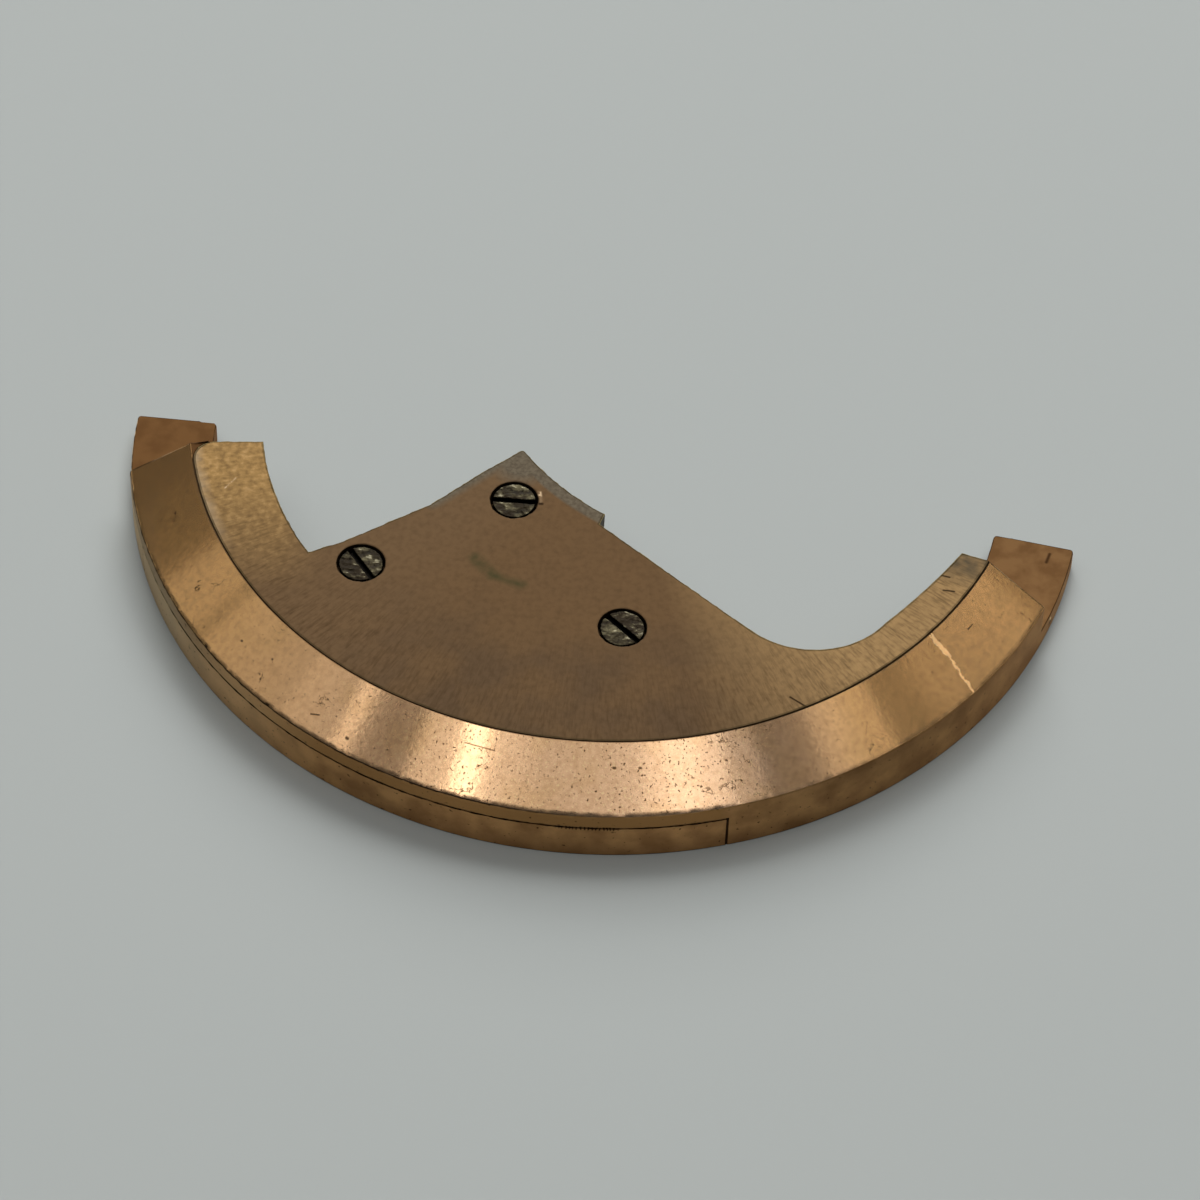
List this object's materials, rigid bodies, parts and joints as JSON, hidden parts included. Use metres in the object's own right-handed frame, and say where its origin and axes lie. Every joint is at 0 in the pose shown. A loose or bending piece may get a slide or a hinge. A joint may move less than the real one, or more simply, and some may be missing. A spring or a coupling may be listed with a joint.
{
  "type": "automatic watch rotor",
  "caption": "Crescent-shaped oscillating weight of a hammer-type automatic watch: bevelled heavy rim with low end stops, thin wedge-shaped web and slotted screws.",
  "frame": {"origin": "on the axis that the weight swings about, which is the centre of its round outer wall, level with the underside", "axes": "+Z along the swing axis, from the underside to the bevelled face; +X across the two ends of the crescent, from the end with the wide arm to the end with the narrow arm; the crescent opens towards +Y"},
  "size_m": [0.0257, 0.0141, 0.0026],
  "materials": {
    "rim_metal": "copper-gilt, satin polished and worn",
    "insert_metal": "copper-gilt, turned and tarnished",
    "web_metal": "copper-gilt, brushed and matt",
    "backing_metal": "plain ground steel",
    "screw_metal": "tarnished dark, with worn slots"
  },
  "bodies": {
    "root": {"rim_weight": "rim_metal", "rim_insert": "insert_metal", "web_plate": "web_metal", "backing_plate": "backing_metal", "left_screw": "screw_metal", "tip_screw": "screw_metal", "right_screw": "screw_metal"}
  },
  "joints": []
}
